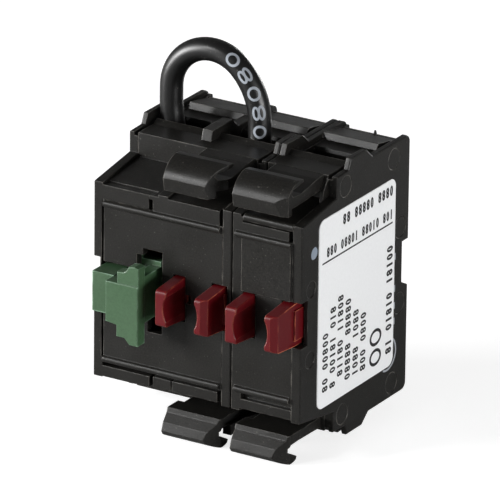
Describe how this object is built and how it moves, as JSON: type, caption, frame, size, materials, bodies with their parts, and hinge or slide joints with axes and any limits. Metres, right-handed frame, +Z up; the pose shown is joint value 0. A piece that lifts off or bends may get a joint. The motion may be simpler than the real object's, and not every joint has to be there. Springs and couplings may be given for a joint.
{
  "type": "self-monitoring contact block",
  "caption": "Clip-on contact block for a push-button: two joined modules with paired red plungers, a green monitor slider, screw clamps and a black link wire.",
  "frame": {"origin": "middle of the front seating plane, between the left and right outer faces and at mid-height", "axes": "+X to the right seen from the front, +Y back from the front seating plane, +Z up"},
  "size_m": [0.0302, 0.0304, 0.0481],
  "materials": {
    "black_plastic": "fine matt grain",
    "red_plastic": "satin",
    "green_plastic": "satin",
    "label": "matt printed",
    "wire_insulation": "glossy",
    "copper": "bare stranded copper",
    "copper_alloy": "rolled",
    "silver": "pressed contact silver",
    "spring_steel": "drawn",
    "zinc_steel": "zinc plated"
  },
  "bodies": {
    "block": {"left_module_body": "black_plastic", "left_module_left_cover": "black_plastic", "left_module_right_cover": "black_plastic", "right_module_body": "black_plastic", "right_module_cover": "black_plastic", "side_label": "label", "return_spring_monitor": "spring_steel", "terminal_bar_monitor_top": "copper_alloy", "fixed_tip_monitor_top": "silver", "terminal_bar_monitor_bottom": "copper_alloy", "fixed_tip_monitor_bottom": "silver", "return_spring_left": "spring_steel", "terminal_bar_left_top": "copper_alloy", "fixed_tip_left_top": "silver", "terminal_bar_left_bottom": "copper_alloy", "fixed_tip_left_bottom": "silver", "return_spring_right": "spring_steel", "terminal_bar_right_top": "copper_alloy", "fixed_tip_right_top": "silver", "terminal_bar_right_bottom": "copper_alloy", "fixed_tip_right_bottom": "silver", "link_wire_insulation": "wire_insulation", "link_wire_conductor": "copper"},
    "monitor_slider": {"monitor_slider": "green_plastic", "contact_bridge_monitor": "copper_alloy", "bridge_tips_monitor": "silver", "contact_spring_monitor": "spring_steel"},
    "plunger_left": {"plunger_left": "red_plastic", "contact_bridge_left": "copper_alloy", "bridge_tips_left": "silver", "contact_spring_left": "spring_steel"},
    "plunger_right": {"plunger_right": "red_plastic", "contact_bridge_right": "copper_alloy", "bridge_tips_right": "silver", "contact_spring_right": "spring_steel"},
    "screw_monitor_top": {"screw_monitor_top": "zinc_steel"},
    "clamp_monitor_top": {"clamp_monitor_top": "zinc_steel"},
    "screw_monitor_bottom": {"screw_monitor_bottom": "zinc_steel"},
    "clamp_monitor_bottom": {"clamp_monitor_bottom": "zinc_steel"},
    "screw_left_top": {"screw_left_top": "zinc_steel"},
    "clamp_left_top": {"clamp_left_top": "zinc_steel"},
    "screw_left_bottom": {"screw_left_bottom": "zinc_steel"},
    "clamp_left_bottom": {"clamp_left_bottom": "zinc_steel"},
    "screw_right_top": {"screw_right_top": "zinc_steel"},
    "clamp_right_top": {"clamp_right_top": "zinc_steel"},
    "screw_right_bottom": {"screw_right_bottom": "zinc_steel"},
    "clamp_right_bottom": {"clamp_right_bottom": "zinc_steel"}
  },
  "joints": [
    {"name": "monitor_slider_slide", "type": "slide", "parent": "block", "child": "monitor_slider", "axis": [0, 1, 0], "range_m": [0, 0.0025], "stiffness_N_per_m": 400, "springref_m": -0.002, "deforming": ["return_spring_monitor"]},
    {"name": "plunger_left_slide", "type": "slide", "parent": "block", "child": "plunger_left", "axis": [0, 1, 0], "range_m": [0, 0.004], "stiffness_N_per_m": 400, "springref_m": -0.002, "deforming": ["return_spring_left"]},
    {"name": "plunger_right_slide", "type": "slide", "parent": "block", "child": "plunger_right", "axis": [0, 1, 0], "range_m": [0, 0.004], "stiffness_N_per_m": 400, "springref_m": -0.002, "deforming": ["return_spring_right"]},
    {"name": "clamp_monitor_top_slide", "type": "slide", "parent": "block", "child": "clamp_monitor_top", "axis": [0, 1, 0], "range_m": [-0.0016, 0]},
    {"name": "screw_monitor_top_turn", "type": "hinge", "parent": "block", "child": "screw_monitor_top", "pos_m": [-0.00972, 0.02, 0.0097], "axis": [0, -1, 0], "range_deg": [-960, 0]},
    {"name": "clamp_monitor_bottom_slide", "type": "slide", "parent": "block", "child": "clamp_monitor_bottom", "axis": [0, 1, 0], "range_m": [0, 0.0016]},
    {"name": "screw_monitor_bottom_turn", "type": "hinge", "parent": "block", "child": "screw_monitor_bottom", "pos_m": [-0.00972, 0.02, -0.0097], "axis": [0, -1, 0], "range_deg": [0, 960]},
    {"name": "clamp_left_top_slide", "type": "slide", "parent": "block", "child": "clamp_left_top", "axis": [0, 1, 0], "range_m": [-0.0016, 0]},
    {"name": "screw_left_top_turn", "type": "hinge", "parent": "block", "child": "screw_left_top", "pos_m": [-0.0003, 0.02, 0.0097], "axis": [0, -1, 0], "range_deg": [-960, 0]},
    {"name": "clamp_left_bottom_slide", "type": "slide", "parent": "block", "child": "clamp_left_bottom", "axis": [0, 1, 0], "range_m": [0, 0.0016]},
    {"name": "screw_left_bottom_turn", "type": "hinge", "parent": "block", "child": "screw_left_bottom", "pos_m": [-0.0003, 0.02, -0.0097], "axis": [0, -1, 0], "range_deg": [0, 960]},
    {"name": "clamp_right_top_slide", "type": "slide", "parent": "block", "child": "clamp_right_top", "axis": [0, 1, 0], "range_m": [0, 0.0016]},
    {"name": "screw_right_top_turn", "type": "hinge", "parent": "block", "child": "screw_right_top", "pos_m": [0.01, 0.02, 0.0097], "axis": [0, -1, 0], "range_deg": [0, 960]},
    {"name": "clamp_right_bottom_slide", "type": "slide", "parent": "block", "child": "clamp_right_bottom", "axis": [0, 1, 0], "range_m": [0, 0.0016]},
    {"name": "screw_right_bottom_turn", "type": "hinge", "parent": "block", "child": "screw_right_bottom", "pos_m": [0.01, 0.02, -0.0097], "axis": [0, -1, 0], "range_deg": [0, 960]}
  ],
  "couplings": [
    {"joint": "screw_monitor_top_turn", "follows": "clamp_monitor_top_slide", "rad_per_m": 10472},
    {"joint": "screw_monitor_bottom_turn", "follows": "clamp_monitor_bottom_slide", "rad_per_m": 10472},
    {"joint": "screw_left_top_turn", "follows": "clamp_left_top_slide", "rad_per_m": 10472},
    {"joint": "screw_left_bottom_turn", "follows": "clamp_left_bottom_slide", "rad_per_m": 10472},
    {"joint": "screw_right_top_turn", "follows": "clamp_right_top_slide", "rad_per_m": 10472},
    {"joint": "screw_right_bottom_turn", "follows": "clamp_right_bottom_slide", "rad_per_m": 10472}
  ]
}
